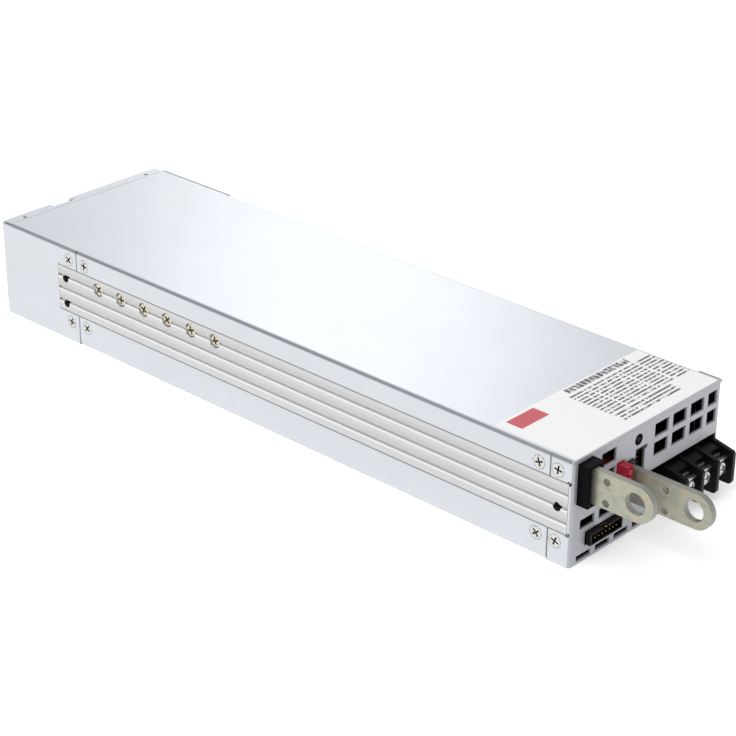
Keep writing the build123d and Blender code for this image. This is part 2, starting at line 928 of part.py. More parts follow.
def socket_pin_places():
    middle_x = (socket_left + socket_right) / 2
    middle_z = (socket_bottom + socket_top) / 2
    first = middle_z - header_pitch * (socket_rows - 1) / 2
    columns = (middle_x - header_pitch / 2, middle_x + header_pitch / 2)
    return [(x, first + row * header_pitch) for row in range(socket_rows) for x in columns]


def socket_pins():
    y_range = (behind_front(socket_recess + pin_reach), behind_front(control_front))
    pins = [
        block((x - pin_size / 2, x + pin_size / 2), y_range, (z - pin_size / 2, z + pin_size / 2))
        for x, z in socket_pin_places()
    ]
    return Compound(children=pins)


def status_light():
    front = behind_front(light_recess)
    seat = behind_front(control_front)
    length = seat - front
    origin = (light_across, front, light_height)
    nose = light_radius * 0.7
    shoulder = (light_across, front + nose, light_height)
    light = small_prism(origin, (0, 1, 0), light_radius, nose, length)
    return light + small_cone(shoulder, (0, -1, 0), (light_radius, 0), (nose, nose))


# Mains terminal block


def fin_places():
    return [fin_first + index * fin_pitch for index in range(fin_count)]


def terminal_places():
    return [x + fin_pitch / 2 for x in fin_places()[:-1]]


def fin_outline():
    nose = ahead_of_front(fin_proud)
    face = ahead_of_front(block_face)
    outline = polygon_face(
        [
            (behind_front(sheet), board_top),
            (behind_front(sheet), fin_root_height + fin_root_rise),
            (front_y, fin_root_height),
            (nose, fin_nose_height),
            (nose, fin_bottom),
            (face, fin_bottom),
            (face + fin_foot_slope, board_top),
        ]
    )
    corners = outline.vertices().sort_by(Axis.X)[:2]
    return fillet(corners, fin_corner_radius)


def ac_terminal_block():
    # A body with a sloping roof carries thin fins, which stand proud on both sides of each terminal.
    half_fin = fin_thickness / 2
    left = fin_places()[0] - half_fin
    right = fin_places()[-1] + half_fin
    face = ahead_of_front(block_face)
    back = behind_front(block_back)
    roof = fin_root_height - roof_drop
    slope = (fin_root_height - fin_nose_height) / fin_proud
    core = polygon_face(
        [
            (back, board_top),
            (back, roof - roof_step),
            (behind_front(2 * sheet), roof),
            (front_y, roof),
            (face + contact_thickness, roof - slope * block_face),
            (face + contact_thickness, board_top),
        ]
    )
    block_body = extrude_along_x(core, left, right)
    for x in fin_places():
        block_body += extrude_along_x(fin_outline(), x - half_fin, x + half_fin)
    for x in terminal_places():
        seat = (x, face, terminal_height)
        bore = terminal_screw_radius + 2 * terminal_fit
        block_body -= small_prism(seat, (0, 1, 0), bore, 0, terminal_hole_depth)
    return block_body


def ac_contacts():
    contacts = []
    face = ahead_of_front(block_face)
    half = clamp_plate_width / 2
    half_height = clamp_plate_height / 2
    for x in terminal_places():
        z_range = (terminal_height - half_height, terminal_height + half_height)
        plate = block((x - half, x + half), (face, face + contact_thickness), z_range)
        bore = terminal_screw_radius + terminal_fit
        plate -= small_prism((x, face, terminal_height), (0, 1, 0), bore, 0, contact_thickness)
        contacts.append(plate)
    return Compound(children=contacts)


def ac_clamp_plate(x):
    # A square washer whose upper and lower edges turn forward. It waits open, ahead of its contact.
    rear = ahead_of_front(block_face + plate_gap + terminal_opening)
    front = rear - clamp_plate_thickness
    lip_front = front - clamp_plate_lip
    half_height = clamp_plate_height / 2
    side = rectangle((front, rear), (terminal_height - half_height, terminal_height + half_height))
    for edge in (-1, 1):
        outer = terminal_height + edge * half_height
        inner = outer - edge * clamp_plate_thickness
        side += rectangle((lip_front, front), (min(inner, outer), max(inner, outer)))
    half_width_plate = clamp_plate_width / 2
    plate = extrude_along_x(side, x - half_width_plate, x + half_width_plate)
    bore = terminal_screw_radius + terminal_fit
    return plate - small_prism((x, front, terminal_height), (0, 1, 0), bore, 0, clamp_plate_thickness)


def ac_terminal_screw(x):
    under_head = ahead_of_front(block_face + plate_gap + terminal_opening + clamp_plate_thickness)
    seat = (x, under_head, terminal_height)
    head = (terminal_head_radius, terminal_head_height)
    return pan_screw(seat, (0, 1, 0), *head, terminal_screw_radius, terminal_screw_length)


# Fans. Each is built with its axis along +Z and its mounting face at zero, then laid against the rear wall.


def placed_fan(center, shape):
    return Plane(origin=(center, fan_rear_y, fan_center_z), x_dir=(1, 0, 0), z_dir=(0, -1, 0)) * shape


def fan_frame(center):
    bore = RegularPolygon(fan_bore_radius, fan_bore_flats)
    corner = fan_size / 2 - fan_corner_cut
    edge = fan_size / 2
    corners = [(-corner, -edge), (corner, -edge), (edge, -corner), (edge, corner)]
    outline = polygon_face(corners + [(-x, -y) for x, y in corners]) - bore
    frame = extrude(outline, amount=fan_depth)
    strut_start = fan_depth - fan_strut_depth
    span = 2 * fan_bore_radius + fan_corner_cut
    cross = Rectangle(span, fan_strut_width) + Rectangle(fan_strut_width, span)
    spider = RegularPolygon(fan_hub_radius - fan_hub_wall, hub_flats) + cross
    spider -= Circle(shaft_radius + shaft_fit)
    frame += extrude(Plane.XY.offset(strut_start) * spider, amount=fan_strut_depth)
    stator_length = fan_hub_length * stator_share
    stator = RegularPolygon(stator_radius, hub_flats) - Circle(shaft_radius + shaft_fit)
    frame += extrude(Plane.XY.offset(strut_start - stator_length) * stator, amount=stator_length)
    frame = placed_fan(center, frame)
    for point in fan_screw_points(center):
        frame -= small_hole(point, (0, -1, 0), fan_screw_radius, fan_depth + 2 * sheet)
    return frame


def fan_blade():
    # Two slanted sections, one at the hub and a flatter one at the tip, joined by a ruled, twisted skin.
    sections = []
    root = fan_hub_radius - fan_hub_wall
    tip = fan_bore_radius - blade_tip_gap
    half = blade_chord / 2
    camber = blade_chord * blade_camber
    for radius, angle in ((root, blade_root_angle), (tip, blade_tip_angle)):
        face = polygon_face(
            [
                (-half, 0),
                (0, camber),
                (half, 0),
                (half, blade_thickness),
                (0, camber + blade_thickness),
                (-half, blade_thickness),
            ]
        )
        plane = Plane(origin=(radius, 0, 0), x_dir=(0, 1, 0), z_dir=(1, 0, 0))
        sections.append(plane * Rot(0, 0, angle) * face)
    return loft(sections, ruled=True)


def fan_rotor():
    hub_start = fan_depth - fan_strut_depth - fan_hub_gap - fan_hub_length
    hub_end = hub_start + fan_hub_length
    cup_floor = hub_start + 2 * fan_hub_wall
    shaft_end = fan_depth - shaft_end_gap
    hub = RegularPolygon(fan_hub_radius, hub_flats)
    rotor = extrude(Plane.XY.offset(hub_start) * hub, amount=fan_hub_length)
    cup = RegularPolygon(fan_hub_radius - fan_hub_wall, hub_flats)
    rotor -= extrude(Plane.XY.offset(cup_floor) * cup, amount=hub_end - cup_floor)
    rotor += extrude(Plane.XY.offset(cup_floor) * Circle(shaft_radius), amount=shaft_end - cup_floor)
    blade = Pos(0, 0, (hub_start + hub_end) / 2) * fan_blade()
    hub_core = Plane.XY * RegularPolygon(fan_hub_radius - fan_hub_wall / 2, hub_flats)
    swept = Plane.XY * RegularPolygon(fan_bore_radius - blade_tip_gap, fan_bore_flats)
    blade = (blade - extrude(hub_core, amount=fan_depth)) & extrude(swept, amount=fan_depth)
    for index in range(blade_count):
        rotor += Rot(0, 0, 360 / blade_count * index) * blade
    return rotor


def fan_screws():
    screws = []
    for center in fan_centers():
        for point in fan_screw_points(center):
            screws.append(flat_screw(point, (0, -1, 0), fan_screw_size))
    return Compound(children=screws)


def case_screws():
    left = [flat_screw(point, (1, 0, 0), flat_screw_size) for point in left_screw_points()]
    right = [flat_screw(point, (-1, 0, 0), flat_screw_size) for point in right_screw_points()]
    return Compound(children=left + right)


# Parts on the main board. Each stands on the board and keeps under the cover.



def standing_box(center, size):
    x, station = center
    width, depth, height = size
    y = behind_front(station)
    x_range = (x - width / 2, x + width / 2)
    y_range = (y - depth / 2, y + depth / 2)
    return block(x_range, y_range, (board_top, board_top + height))


def transformer_core():
    core = standing_box(transformer_center, transformer_core_size)
    x, station = transformer_center
    y = behind_front(station)
    depth = transformer_core_size[1]
    middle_z = board_top + transformer_core_size[2] / 2
    window_width, window_height = transformer_window
    for side in (-1, 1):
        middle_x = x + side * (transformer_leg / 2 + window_width / 2)
        core -= block(
            (middle_x - window_width / 2, middle_x + window_width / 2),
            (y - depth / 2, y + depth / 2),
            (middle_z - window_height / 2, middle_z + window_height / 2),
        )
    return core


def transformer_winding():
    x, station = transformer_center
    y = behind_front(station)
    depth = transformer_core_size[1]
    middle_z = board_top + transformer_core_size[2] / 2
    window_width, window_height = transformer_window
    inner_half = transformer_leg / 2 + winding_gap
    outer_half = transformer_leg / 2 + window_width - winding_gap
    half_depth = depth / 2 + winding_overhang
    outer = Pos(x, y) * RectangleRounded(2 * outer_half, 2 * half_depth, winding_overhang)
    inner = Pos(x, y) * Rectangle(2 * inner_half, depth + 2 * winding_gap)
    z_half = window_height / 2 - winding_gap
    winding = extrude_along_z(outer - inner, middle_z - z_half, middle_z + z_half)
    foot_depth = winding_overhang / 2
    for side in (-1, 1):
        foot_y = y + side * (half_depth - foot_depth / 2)
        winding += block(
            (x - outer_half / 2, x + outer_half / 2),
            (foot_y - foot_depth / 2, foot_y + foot_depth / 2),
            (board_top, middle_z),
        )
    return winding


def ring_choke(center):
    # A ring core wound with wire: each flat stands for a group of turns.
    x, station = center
    outline = RegularPolygon(choke_radius, choke_flats) - RegularPolygon(choke_hole_radius, choke_flats)
    ring = extrude(outline, amount=choke_height)
    near_rim = (choke_radius + choke_hole_radius) / 2
    outer = [edge for edge in ring.edges() if math.hypot(edge.center().X, edge.center().Y) > near_rim]
    rims = [edge for edge in outer if abs(edge.tangent_at(0).Z) < 0.5]
    return Pos(x, behind_front(station), board_top) * chamfer(rims, choke_rim)


def bulk_capacitors():
    cans = []
    z = board_top + bulk_capacitor_radius
    for station in bulk_capacitor_stations:
        y = behind_front(station)
        round_can = RegularPolygon(bulk_capacitor_radius, can_flats, False)
        outline = Pos(y, z) * Rot(0, 0, 180 / can_flats) * round_can
        end = bulk_capacitor_left + bulk_capacitor_length
        cans.append(extrude_along_x(outline, bulk_capacitor_left, end))
    return Compound(children=cans)


def output_capacitors():
    cans = []
    for x in output_capacitor_across:
        for index in range(3):
            y = behind_front(output_capacitor_first + index * output_capacitor_pitch)
            outline = Pos(x, y) * RegularPolygon(output_capacitor_radius, can_flats)
            cans.append(extrude_along_z(outline, board_top, board_top + output_capacitor_height))
    return Compound(children=cans)


def fuse_axis_height():
    return board_top + fuse_radius + 2 * fuse_clip_thickness


def fuse():
    x, station = fuse_center
    start = (x - fuse_length / 2, behind_front(station), fuse_axis_height())
    tube = small_prism(start, (1, 0, 0), fuse_radius - fuse_cap_step, 0, fuse_length)
    for low in (0, fuse_length - fuse_cap_length):
        tube += small_prism(start, (1, 0, 0), fuse_radius, low, low + fuse_cap_length)
    return tube


def fuse_clips():
    x, station = fuse_center
    y = behind_front(station)
    z = fuse_axis_height()
    clips = []
    reach = fuse_radius + fuse_clip_thickness
    for side in (-1, 1):
        middle = x + side * (fuse_length - fuse_cap_length) / 2
        x_range = (middle - fuse_cap_length / 3, middle + fuse_cap_length / 3)
        body = block(x_range, (y - reach, y + reach), (board_top, z + fuse_radius / 2))
        body -= small_hole((middle - fuse_cap_length, y, z), (1, 0, 0), fuse_radius, 2 * fuse_cap_length)
        mouth = fuse_radius * fuse_clip_mouth
        body -= block(x_range, (y - mouth, y + mouth), (z, z + fuse_radius))
        clips.append(body)
    return Compound(children=clips)


def rating_label():
    x_half = half_width - bend_radius - label_margin_side + bend_radius / 2
    y_start = behind_front(label_margin_front)
    y_range = (y_start, y_start + label_length)
    return block((-x_half, x_half), y_range, (case_height, case_height + label_thickness))


def all_parts():
    parts = {
        "base_tray": base_tray(),
        "top_cover": top_cover(),
        "front_panel": front_panel(),
        "rear_panel": rear_panel(),
        "heat_sink": heat_sink(),
        "thermal_pad": thermal_pad(),
        "power_transistors": power_transistors(),
        "heat_sink_screws": heat_sink_screws(),
        "main_board": main_board(),
        "board_standoffs": board_standoffs(),
        "board_screws": board_screws(),
        "control_board": control_board(),
        "bus_bar_positive": bus_bar(positive_left, positive_bottom, positive_reach),
        "bus_bar_negative": bus_bar(negative_left, negative_bottom, negative_reach),
        "bus_bar_insulator": bus_bar_insulator(),
        "bus_bar_collar": bus_bar_collar(),
        "dip_switch_body": dip_switch_body(),
        "header_housing": header_housing(),
        "header_pins": header_pins(),
        "signal_socket": signal_socket(),
        "socket_pins": socket_pins(),
        "status_light": status_light(),
        "ac_terminal_block": ac_terminal_block(),
        "ac_contacts": ac_contacts(),
        "fan_screws": fan_screws(),
        "case_screws": case_screws(),
        "transformer_core": transformer_core(),
        "transformer_winding": transformer_winding(),
        "pfc_choke": ring_choke(pfc_choke_center),
        "filter_choke": ring_choke(filter_choke_center),
        "bulk_capacitors": bulk_capacitors(),
        "output_capacitors": output_capacitors(),
        "bridge_rectifier": standing_box(bridge_center, bridge_size),
        "inrush_relay": standing_box(relay_center, relay_size),
        "film_capacitor": standing_box(film_capacitor_center, film_capacitor_size),
        "input_fuse": fuse(),
        "fuse_clips": fuse_clips(),
        "rating_label": rating_label(),
    }
    for index, height in enumerate(lever_heights(), start=1):
        parts[f"dip_lever_{index}"] = dip_lever(height)
    for index, x in enumerate(terminal_places(), start=1):
        parts[f"ac_clamp_plate_{index}"] = ac_clamp_plate(x)
        parts[f"ac_terminal_screw_{index}"] = ac_terminal_screw(x)
    for name, center in zip(("left", "right"), fan_centers()):
        parts[f"fan_frame_{name}"] = fan_frame(center)
        parts[f"fan_rotor_{name}"] = placed_fan(center, fan_rotor())
    return parts


os.makedirs("parts", exist_ok=True)
for name, shape in all_parts().items():
    export_step(shape, f"parts/{name}.step")
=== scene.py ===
import json
import bmesh
import bpy
import numpy as np
from mathutils import Matrix, Vector


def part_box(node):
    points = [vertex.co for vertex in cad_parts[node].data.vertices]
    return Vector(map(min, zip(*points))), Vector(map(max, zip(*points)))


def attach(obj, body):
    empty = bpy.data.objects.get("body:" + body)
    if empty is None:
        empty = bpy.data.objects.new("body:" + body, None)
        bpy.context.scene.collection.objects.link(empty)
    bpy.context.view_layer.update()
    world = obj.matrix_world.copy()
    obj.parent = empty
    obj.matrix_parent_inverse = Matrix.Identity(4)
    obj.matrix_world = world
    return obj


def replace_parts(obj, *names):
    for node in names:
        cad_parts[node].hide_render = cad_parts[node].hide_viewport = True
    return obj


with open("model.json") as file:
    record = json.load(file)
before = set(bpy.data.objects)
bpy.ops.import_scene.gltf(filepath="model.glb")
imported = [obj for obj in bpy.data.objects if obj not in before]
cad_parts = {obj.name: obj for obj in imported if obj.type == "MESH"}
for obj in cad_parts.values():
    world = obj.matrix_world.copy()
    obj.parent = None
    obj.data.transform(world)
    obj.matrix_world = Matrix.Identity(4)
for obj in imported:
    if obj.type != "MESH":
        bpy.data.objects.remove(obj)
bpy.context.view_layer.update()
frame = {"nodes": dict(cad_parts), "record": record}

mm = 0.001
print("frame loaded:", len(frame["nodes"]), "solids")


cameraLook = {
    "place": (-0.5478, -0.5250, 0.3863),
    "azimuth": -47.21,
    "elevation": 26.43,
    "roll": 0.43,
    "lens": 106.09,
}


def makeCamera(look):
    # the camera's own axes from its three angles: across, up and backwards
    turn, rise, roll = (np.radians(look[key]) for key in ("azimuth", "elevation", "roll"))
    back = Vector((np.sin(turn) * np.cos(rise), -np.cos(turn) * np.cos(rise), np.sin(rise)))
    level = Vector((np.cos(turn), np.sin(turn), 0.0))
    across = level * np.cos(roll) + back.cross(level) * np.sin(roll)
    axes = Matrix((across, back.cross(across), back)).transposed()
    data = bpy.data.cameras.new("photoCamera")
    data.lens, data.sensor_width = look["lens"], 36.0
    data.clip_start, data.clip_end = 0.05, 30.0
    camera = bpy.data.objects.new("photoCamera", data)
    camera.matrix_world = Matrix.Translation(look["place"]) @ axes.to_4x4()
    bpy.context.scene.collection.objects.link(camera)
    bpy.context.scene.camera = camera


studioLook = {
    "ambient": 0.60,        # plain light from all round
    "key": (11.0, 1.3, (-0.75, -0.1, 1.5)),    # watts, size, place of the large soft lamp
    "fill": (0.62, 0.40, (1.00, 0.93, 0.70)),    # mirrored by the top of the case
    "panelFocus": 14.0,     # how narrow the mirrored panels are
    "panelGap": (0.62, 0.65, 0.69),
    "floorColour": 0.86,
    "floorGlow": 0.42,      # lifts the floor to white as it is seen and mirrored, and lights nothing
    "floorFade": (0.4, 1.6, 0.3),    # metres out where more glow starts and ends to come in, and its share
}


def makeLamp(name, watts, size, place):
    data = bpy.data.lights.new(name, "AREA")
    data.energy, data.size = watts, size
    lamp = bpy.data.objects.new(name, data)
    lamp.location = place
    lamp.rotation_euler = (Vector((0, 0, 0.02)) - Vector(place)).to_track_quat("-Z", "Y").to_euler()
    bpy.context.scene.collection.objects.link(lamp)


# a wire is one output socket, and + - * / on it add Math nodes
class Wire:
    def __init__(self, tree, socket):
        self.tree, self.socket = tree, socket

    def apply(self, operation, *values):
        return self.tree.add("Math", {"operation": operation}, dict(enumerate((self, *values))))

    def reflected(self, operation, value):
        return self.tree.add("Math", {"operation": operation}, {0: value, 1: self})

    def __add__(self, other):
        return self.apply("ADD", other)

    def __radd__(self, other):
        return self.reflected("ADD", other)

    def __sub__(self, other):
        return self.apply("SUBTRACT", other)

    def __rsub__(self, other):
        return self.reflected("SUBTRACT", other)

    def __mul__(self, other):
        return self.apply("MULTIPLY", other)

    def __rmul__(self, other):
        return self.reflected("MULTIPLY", other)

    def __truediv__(self, other):
        return self.apply("DIVIDE", other)

    def __rtruediv__(self, other):
        return self.reflected("DIVIDE", other)


class NodeTree:
    def __init__(self, tree):
        self.nodes, self.links = tree.nodes, tree.links

    def add(self, kind, settings, sockets, output=0):
        # one node of a type: its settings first, then the values or wires of its sockets
        node = self.nodes.new("ShaderNode" + kind)
        for key, value in settings.items():
            if key == "stops":
                setStops(node.color_ramp, value)
            else:
                setattr(node, key, value)
        self.feed(node, sockets)
        return Wire(self, node.outputs[output])

    def feed(self, node, sockets):
        for key, value in sockets.items():
            if isinstance(value, Wire):
                self.links.new(value.socket, node.inputs[key])
            else:
                node.inputs[key].default_value = value

    def place(self, scale=(1, 1, 1)):
        coordinates = self.add("TexCoord", {}, {}, "Object")
        return self.add("Mapping", {"vector_type": "POINT"}, {"Vector": coordinates, "Scale": scale})

    def noise(self, perMetre, detail=3.0, stretch=(1, 1, 1)):
        # cells a metre, octaves, and how far each axis is squeezed
        sockets = {"Vector": self.place(stretch), "Scale": perMetre, "Detail": detail, "Roughness": 0.55}
        return self.add("TexNoise", {}, sockets)

    def axes(self):
        split = self.add("SeparateXYZ", {}, {"Vector": self.place()})
        node = split.socket.node
        return [Wire(self, node.outputs[i]) for i in range(3)]

    def between(self, value, low, high, soft=0.08 * mm):
        # 1 between low and high, falling to 0 over the soft edge
        rise = self.add("MapRange", {}, {"Value": value, "From Min": low - soft, "From Max": low + soft})
        fall = self.add("MapRange", {}, {"Value": value, "From Min": high - soft, "From Max": high + soft})
        return rise * (1.0 - fall)

    def blend(self, factor, first, second):
        return self.add("Mix", {"data_type": "RGBA"}, {0: factor, 6: first, 7: second}, 2)

    def spread(self, value, low, high):
        # carries a 0..1 value to a low..high one
        return self.add("MapRange", {}, {"Value": value, "To Min": low, "To Max": high})


def total(parts):
    # adds up wires
    result = parts[0]
    for part in parts[1:]:
        result = result + part
    return result


def setStops(ramp, stops):
    while len(ramp.elements) < len(stops):
        ramp.elements.new(0.5)
    for element, (position, colour) in zip(ramp.elements, stops):
        element.position, element.color = position, (*colour, 1.0)


class Finish(NodeTree):
    def __init__(self, name, fixed):
        self.material = bpy.data.materials.new(name)
        self.material.use_nodes = True
        super().__init__(self.material.node_tree)
        self.shader = self.nodes["Principled BSDF"]
        self.feed(self.shader, fixed)

    def set(self, sockets):
        self.feed(self.shader, sockets)
        return self.material

    def relief(self, height, strength, distance, edge=0.0):
        # bump from a height; an edge radius rounds the corners in the shading
        sockets = {"Height": height, "Strength": strength, "Distance": distance}
        if edge:
            sockets["Normal"] = self.add("Bevel", {"samples": 6}, {"Radius": edge})
        return self.add("Bump", {}, sockets)


def rgb(red, green, blue):
    return (red, green, blue, 1.0)


sheetLook = {
    "colour": (0.73, 0.76, 0.80),
    "cloud": 0.05,
    "cloudNoise": (26.0, 4.0),
    "grainNoise": (420.0, 2.0, (1.0, 0.05, 1.0)),
    "smudgeNoise": (11.0, 5.0),
    "smudgeShare": 0.85,               # of the gloss, the rest is the grain's
    "metal": 0.60,
    "gloss": (0.28, 0.34),
    "edge": 0.35 * mm,
    "fold": (0.20, 0.205, 0.22),       # painted shade along the bend at the top of each side
    "seam": (0.13, 0.135, 0.145),      # painted shade in the gaps of the seams
    "seamHalf": 0.36,                  # mm
    "seamSoft": 0.1,                   # mm, how far a seam's shade fades
    "seamShade": 0.62,
    "foldWide": 0.95,                  # mm, the width of the painted shade at the top of each side
    "foldSoft": 0.12,
    "foldShade": 0.8,
    "upright": (-140.4, 102.6),        # mm, seams that run up the sides
    "level": ((-1, 12.7), (-1, 32.3), (1, 32.2)),    # side and height of those that run along
    "levelEnds": (-148.5, 114.5),
    "insideShade": (0.008, 0.008, 0.010),     # painted shade, black, on the inner faces
    "face": (0.53, 0.54, 0.58),        # painted shade on the front face, which is also less polished than the sides
    "half": (42.5, 150.0),             # mm, half the width and half the length
    "height": 41.0,
    "sheet": 1.0,
    "lightHole": (-6.3, 35.7, 2.2),    # mm, where the status light looks out: painted shade on the hole's wall
}


def sheetSteel(look=sheetLook):
    finish = Finish("zincSheet", {"IOR": 1.5})
    x, y, z = finish.axes()
    side = x.apply("ABSOLUTE")
    end = y.apply("ABSOLUTE")
    half, reach, wall = look["half"][0] * mm, look["half"][1] * mm, look["sheet"] * mm
    top = look["height"] * mm
    cloud, grain, smudge = (finish.noise(*look[key]) for key in ("cloudNoise", "grainNoise", "smudgeNoise"))
    dark = tuple(c * (1 - 2 * look["cloud"]) for c in look["colour"])
    colour = finish.blend(cloud, rgb(*dark), rgb(*look["colour"]))
    band, bandSoft = look["foldWide"] * mm, look["foldSoft"] * mm
    # painted shade along the bend at the top of each side, where the roughness also rises
    bend = finish.between(side, half - band, half + mm, bandSoft)
    bend = bend * finish.between(z, top - band, top + mm, bandSoft)
    colour = finish.blend(bend * look["foldShade"], colour, rgb(*look["fold"]))
    seamHalf = look["seamHalf"] * mm
    soft = look["seamSoft"] * mm
    uprights = [
        finish.between(y, place * mm - seamHalf, place * mm + seamHalf, soft) for place in look["upright"]
    ]
    levels = [
        finish.between(z, height * mm - seamHalf, height * mm + seamHalf, soft)
        * finish.between(x * hand, 0.0, half + mm)
        for hand, height in look["level"]
    ]
    low, high = look["levelEnds"]
    levels = total(levels) * finish.between(y, low * mm, high * mm)
    lines = (total(uprights) + levels).apply("MINIMUM", 1.0)
    lines = lines * finish.between(side, half - 0.6 * mm, half + mm)
    # painted shade along the seams, where the gaps between parts lie in shade
    colour = finish.blend(lines * look["seamShade"], colour, rgb(*look["seam"]))
    face = finish.between(y, -reach - mm, -reach + 0.8 * wall, 0.1 * mm)
    # painted shade on the front face
    colour = finish.blend(face, colour, rgb(*look["face"]))
    holeX, holeZ, holeRadius = (v * mm for v in look["lightHole"])
    away = ((x - holeX) * (x - holeX) + (z - holeZ) * (z - holeZ)).apply("SQRT")
    # painted shade on the wall of the status light's hole
    rim = finish.between(away, -mm, holeRadius, 0.02 * mm) * face
    depth, shadeSoft = 0.9 * wall, 0.04 * mm    # the painted shade starts inside the sheet's thickness
    # painted shade on the inner faces of the case
    inside = finish.between(side, -mm, half - depth, shadeSoft)
    inside = inside * finish.between(z, depth, top - depth, shadeSoft)
    inside = inside * finish.between(end, -mm, reach - depth, shadeSoft)
    inside = (inside + rim).apply("MINIMUM", 1.0)
    colour = finish.blend(inside, colour, rgb(*look["insideShade"]))
    share = look["smudgeShare"]
    rough = finish.spread(grain * (1.0 - share) + smudge * share, *look["gloss"])
    rough = finish.spread((face + inside + bend).apply("MINIMUM", 1.0), 0.0, 0.16) + rough
    metal = look["metal"] * (1.0 - inside) * (1.0 - face * 0.5)
    normal = finish.relief(grain, 0.012, 0.02 * mm, look["edge"])
    return finish.set({"Base Color": colour, "Metallic": metal, "Roughness": rough, "Normal": normal})


aluminiumLook = {
    "colour": (0.715, 0.713, 0.708),
    "dieLines": (1500.0, 3.0, (1.0, 0.012, 1.0)),
    "cloudNoise": (60.0, 3.0, (1.0, 0.3, 1.0)),
    "bright": (0.93, 0.93, 0.925),      # painted highlight on the lip under each groove and on the grooves' floors
    "shade": (0.42, 0.42, 0.42),        # painted shade on the strip above each groove
    "grooves": (28.0, 22.5, 17.0),      # mm
    "highlightShare": 0.72,
    "shadeShare": 0.30,
    "lipEdges": (-1.5, -0.6, 0.14),     # mm below and above a groove's middle, and the soft edge
    "stripEdges": (0.7, 2.3, 0.6),
    "floorEdges": (-0.5, 0.5, 0.05),
    "holes": ((-143.8, 22.0), (110.0, 16.0), (110.0, 27.0)),    # mm, place along and height of each
    "holeRadius": 1.70,
    "bore": (0.045, 0.045, 0.048),      # painted shade inside the holes
    "metal": 0.55,
    "gloss": (0.30, 0.42),
    "edge": 0.25 * mm,
}


def drawnAluminium(look=aluminiumLook):
    # die lines run the length of the extrusion
    finish = Finish("drawnAluminium", {"IOR": 1.5})
    lines, cloud = finish.noise(*look["dieLines"]), finish.noise(*look["cloudNoise"])
    dark = tuple(c * 0.9 for c in look["colour"])
    colour = finish.blend(lines * 0.5 + cloud * 0.5, rgb(*dark), rgb(*look["colour"]))
    y, z = finish.axes()[1:]

    def bands(part):
        # one band along each groove, from its low and high edge and its soft edge, in mm from the middle
        low, high, soft = look[part]
        spans = [((middle + low) * mm, (middle + high) * mm) for middle in look["grooves"]]
        return total([finish.between(z, start, end, soft * mm) for start, end in spans])

    # painted shade above each groove, then painted highlight below it and on its floor
    colour = finish.blend(bands("stripEdges") * look["shadeShare"], colour, rgb(*look["shade"]))
    paintedHighlight = ((bands("lipEdges") + bands("floorEdges")) * look["highlightShare"]).apply("MINIMUM", 1.0)
    colour = finish.blend(paintedHighlight, colour, rgb(*look["bright"]))
    bores = []
    for place, height in look["holes"]:
        along, up = y - place * mm, z - height * mm
        away = (along * along + up * up).apply("SQRT")
        bores.append(finish.between(away, -mm, look["holeRadius"] * mm, 0.02 * mm))
    bores = total(bores)
    # painted shade inside the holes
    colour = finish.blend(bores, colour, rgb(*look["bore"]))
    rough = finish.spread(lines, *look["gloss"])
    normal = finish.relief(lines, 0.2, 0.03 * mm, look["edge"])
    metal = look["metal"] * (1.0 - bores)
    return finish.set({"Base Color": colour, "Metallic": metal, "Roughness": rough, "Normal": normal})


tinLook = {
    "colour": (0.49, 0.49, 0.395),
    "warm": (0.60, 0.47, 0.36),
    "cool": (0.27, 0.30, 0.22),
    "edgeShade": (0.30, 0.30, 0.26),      # painted shade on the cut edges all round a bar
    "brushNoise": (700.0, 4.0, (1.0, 0.25, 1.0)),
    "warmNoise": (190.0, 6.0),
    "coolNoise": (330.0, 6.0, (1.0, 0.7, 1.3)),
    "warmStops": ((0.50, (0, 0, 0)), (0.68, (0.55, 0.55, 0.55))),
    "coolStops": ((0.50, (0, 0, 0)), (0.70, (0.6, 0.6, 0.6))),
    "metal": 0.62,
    "gloss": (0.28, 0.46),
    "edge": 0.35 * mm,
}


def tinnedCopper(look=tinLook):
    finish = Finish("tinnedCopper", {"Metallic": look["metal"]})
    brush, patch, tarnish = (finish.noise(*look[key]) for key in ("brushNoise", "warmNoise", "coolNoise"))
    warmPatch = finish.add("ValToRGB", {"stops": look["warmStops"]}, {"Fac": patch})
    coolPatch = finish.add("ValToRGB", {"stops": look["coolStops"]}, {"Fac": tarnish})
    dark = tuple(c * 0.80 for c in look["colour"])
    colour = finish.blend(brush, rgb(*dark), rgb(*look["colour"]))
    colour = finish.blend(warmPatch, colour, rgb(*look["warm"]))
    colour = finish.blend(coolPatch, colour, rgb(*look["cool"]))
    # painted shade on the faces that don't face across the bar
    facing = finish.add("SeparateXYZ", {}, {"Vector": finish.add("NewGeometry", {}, {}, "Normal")})
    flat = finish.add("MapRange", {}, {"Value": facing.apply("ABSOLUTE"), "From Min": 0.55, "From Max": 0.8})
    colour = finish.blend(flat, rgb(*look["edgeShade"]), colour)
    rough = finish.spread(brush * 0.6 + patch * 0.4, *look["gloss"])
    normal = finish.relief(brush * 0.5 + patch * 0.5, 0.2, 0.08 * mm, look["edge"])
    return finish.set({"Base Color": colour, "Roughness": rough, "Normal": normal})


platedLook = {
    "metal": 0.95,
    "stainNoise": (420.0, 4.0),
    "stained": 0.72,                   # how much of the colour is left in a stain
    "scratchNoise": (2200.0, 2.0),
    # the colour of the painted shade in driver recesses and round screw heads
    "recess": (0.07, 0.066, 0.06),
    "edge": 0.12 * mm,
}


